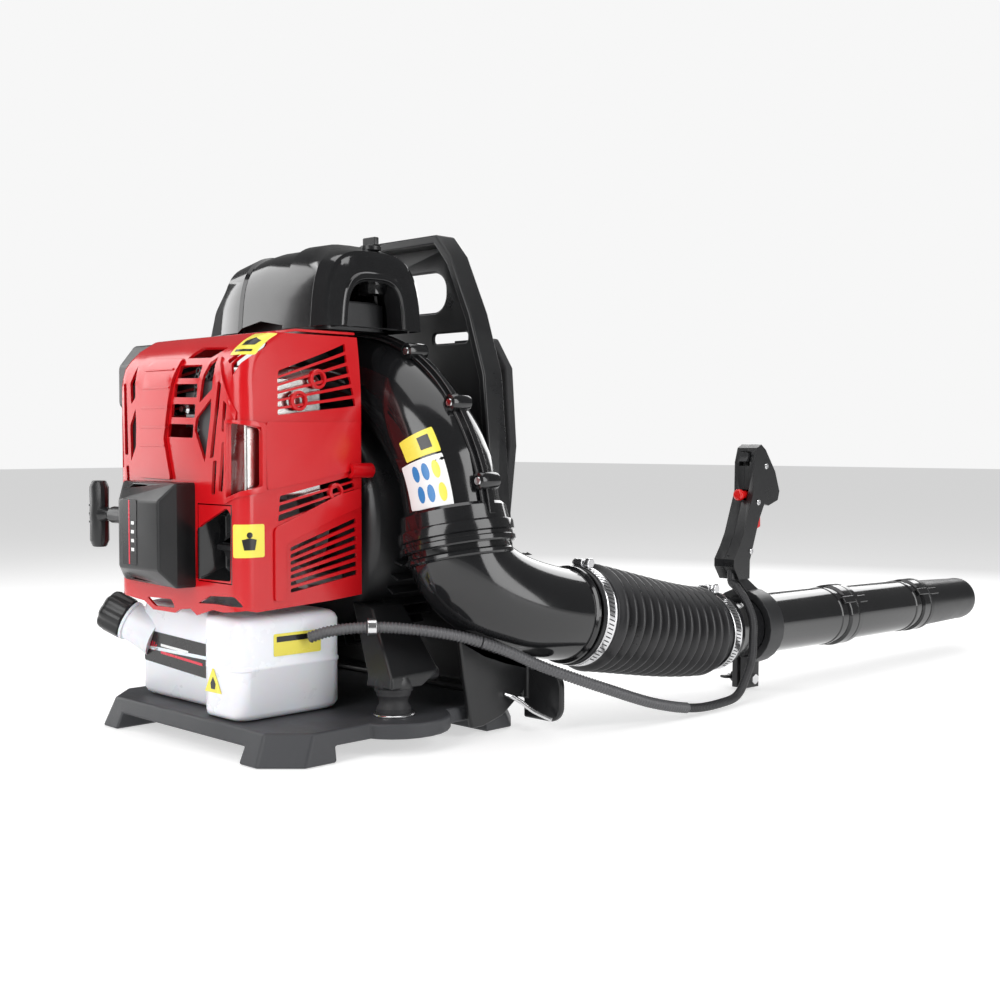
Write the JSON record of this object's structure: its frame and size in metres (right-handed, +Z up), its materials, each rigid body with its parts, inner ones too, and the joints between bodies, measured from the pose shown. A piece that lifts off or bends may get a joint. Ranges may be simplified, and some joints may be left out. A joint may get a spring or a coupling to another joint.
{
  "type": "backpack leaf blower",
  "caption": "Petrol backpack leaf blower with scroll fan, swivelling elbow, ribbed hose, jointed blowing tubes, pistol-grip throttle handle and padded backrest.",
  "frame": {"origin": "centre of the footprint on the ground, cable left out", "axes": "+X to the side with the air duct, +Y along the blowing tubes towards the nozzle, +Z up"},
  "size_m": [0.4892, 1.131, 0.48],
  "materials": {
    "red_cover": "gloss",
    "black_gloss": "gloss",
    "black_plastic": "satin",
    "grey_plastic": "matt",
    "tank": "translucent white",
    "rubber": "matt",
    "conduit": "satin",
    "steel": "plated",
    "aluminium": "as cast",
    "cast": "die cast",
    "foam": "open foam",
    "pad": "woven over foam",
    "control_red": "gloss"
  },
  "bodies": {
    "machine": {"base_plate": "grey_plastic", "lower_mount_left": "rubber", "lower_mount_right": "rubber", "fan_housing_front": "black_gloss", "fan_housing_rear": "black_gloss", "crankcase": "cast", "cylinder": "aluminium", "rocker_cover": "black_plastic", "ignition_coil": "black_plastic", "spark_plug": "steel", "muffler": "steel", "carburettor": "cast", "intake_cover": "black_plastic", "air_cleaner_case": "black_plastic", "air_filter": "foam", "engine_cover": "red_cover", "mesh_screen": "black_plastic", "oil_filler_funnel": "black_plastic", "recoil_housing": "black_gloss", "fuel_tank": "tank", "fuel_line": "rubber", "backrest_frame": "black_plastic", "upper_mount_left": "rubber", "upper_mount_right": "rubber", "back_pad": "pad", "shoulder_strap_left": "pad", "shoulder_strap_right": "pad", "strap_hook_left": "steel", "strap_hook_right": "steel", "throttle_conduit_lower": "conduit", "cable_clip": "steel"},
    "crank": {"crankshaft": "steel", "flywheel": "cast", "impeller": "grey_plastic"},
    "piston_body": {"piston": "aluminium"},
    "starter_grip": {"starter_handle": "black_plastic"},
    "reel": {"starter_reel": "grey_plastic"},
    "tank_cap": {"fuel_cap": "black_plastic"},
    "filler_cap": {"oil_cap": "black_plastic"},
    "cleaner_lid": {"air_cleaner_cover": "black_gloss"},
    "lid_knob": {"cleaner_knob": "black_plastic"},
    "choke": {"choke_lever": "black_plastic"},
    "primer": {"primer_bulb": "rubber"},
    "elbow_body": {"elbow": "black_gloss", "hose": "rubber", "hose_clamp_large": "steel", "throttle_conduit_upper": "conduit"},
    "hose_end": {"hose_clamp_small": "steel"},
    "wand": {"swivel_pipe": "black_gloss", "handle_bracket": "black_plastic", "clamp_bolt": "steel", "grip_left": "black_plastic", "grip_right": "black_plastic", "throttle_sleeve": "rubber"},
    "clamp_nut": {"wing_nut": "steel"},
    "trigger": {"throttle_trigger": "control_red"},
    "lock": {"lock_button": "control_red"},
    "stop": {"stop_switch": "control_red"},
    "middle_pipe": {"straight_pipe": "black_gloss"},
    "tip": {"nozzle": "grey_plastic"}
  },
  "joints": [
    {"name": "crank_spin", "type": "hinge", "parent": "machine", "child": "crank", "pos_m": [-0.01712, -0.39148, 0.195], "axis": [0, 1, 0], "continuous": true},
    {"name": "piston_stroke", "type": "slide", "parent": "machine", "child": "piston_body", "axis": [0, 0, 1], "range_m": [0, 0.037]},
    {"name": "starter_pull", "type": "slide", "parent": "machine", "child": "starter_grip", "axis": [-1, 0, 0], "range_m": [0, 0.5], "stiffness_N_per_m": 20, "springref_m": -0.05},
    {"name": "reel_spin", "type": "hinge", "parent": "machine", "child": "reel", "pos_m": [-0.01712, -0.53748, 0.195], "axis": [0, -1, 0], "range_deg": [-2, 1200]},
    {"name": "fuel_cap_turn", "type": "hinge", "parent": "machine", "child": "tank_cap", "pos_m": [-0.1332, -0.51186, 0.09934], "axis": [-0.7407, -0.5144, 0.4321], "range_deg": [0, 360]},
    {"name": "oil_cap_turn", "type": "hinge", "parent": "machine", "child": "filler_cap", "pos_m": [0.04638, -0.50678, 0.181], "axis": [0, -1, 0], "range_deg": [0, 360]},
    {"name": "cleaner_lift", "type": "slide", "parent": "machine", "child": "cleaner_lid", "axis": [0, 0, 1], "range_m": [0, 0.06]},
    {"name": "knob_turn", "type": "hinge", "parent": "cleaner_lid", "child": "lid_knob", "pos_m": [0.05488, -0.35848, 0.4563], "axis": [0, 0, 1], "range_deg": [0, 360]},
    {"name": "choke_turn", "type": "hinge", "parent": "machine", "child": "choke", "pos_m": [-0.19912, -0.45948, 0.328], "axis": [0, 0, 1], "range_deg": [-10, 10]},
    {"name": "primer_press", "type": "slide", "parent": "machine", "child": "primer", "axis": [1, 0, 0], "range_m": [0, 0.003], "stiffness_N_per_m": 200},
    {"name": "elbow_swivel", "type": "hinge", "parent": "machine", "child": "elbow_body", "pos_m": [0.15173, -0.33748, 0.18792], "axis": [0.225, 0, -0.9744], "range_deg": [-6, 20]},
    {"name": "hose_bend", "type": "hinge", "parent": "elbow_body", "child": "hose_end", "pos_m": [0.18738, -0.10648, 0.089], "axis": [1, 0, 0], "range_deg": [0, 20], "deforming": ["hose", "throttle_conduit_upper"]},
    {"name": "pipe_swivel", "type": "hinge", "parent": "hose_end", "child": "wand", "pos_m": [0.19073, 0.00852, 0.07092], "axis": [0, 0.9998, -0.0175], "range_deg": [-20, 20], "deforming": ["throttle_sleeve"]},
    {"name": "wing_nut_turn", "type": "hinge", "parent": "wand", "child": "clamp_nut", "pos_m": [0.19073, 0.06749, 0.01144], "axis": [-1, 0, 0], "range_deg": [-30, 30]},
    {"name": "trigger_squeeze", "type": "hinge", "parent": "wand", "child": "trigger", "pos_m": [0.19073, 0.08099, 0.21148], "axis": [-1, 0, 0], "range_deg": [0, 14], "stiffness_Nm_per_rad": 0.1, "springref_deg": -11.46},
    {"name": "lock_press", "type": "slide", "parent": "wand", "child": "lock", "axis": [0, 0.9998, -0.0175], "range_m": [0, 0.003], "stiffness_N_per_m": 200},
    {"name": "stop_rock", "type": "hinge", "parent": "wand", "child": "stop", "pos_m": [0.19073, 0.06279, 0.2578], "axis": [1, 0, 0], "range_deg": [-10, 10]},
    {"name": "middle_pipe_turn", "type": "hinge", "parent": "wand", "child": "middle_pipe", "pos_m": [0.19073, 0.24849, 0.06673], "axis": [0, 0.9998, -0.0175], "range_deg": [0, 30]},
    {"name": "nozzle_turn", "type": "hinge", "parent": "middle_pipe", "child": "tip", "pos_m": [0.19073, 0.42846, 0.06359], "axis": [0, 0.9998, -0.0175], "range_deg": [0, 30]}
  ],
  "couplings": [
    {"joint": "reel_spin", "follows": "starter_pull", "rad_per_m": 40}
  ]
}
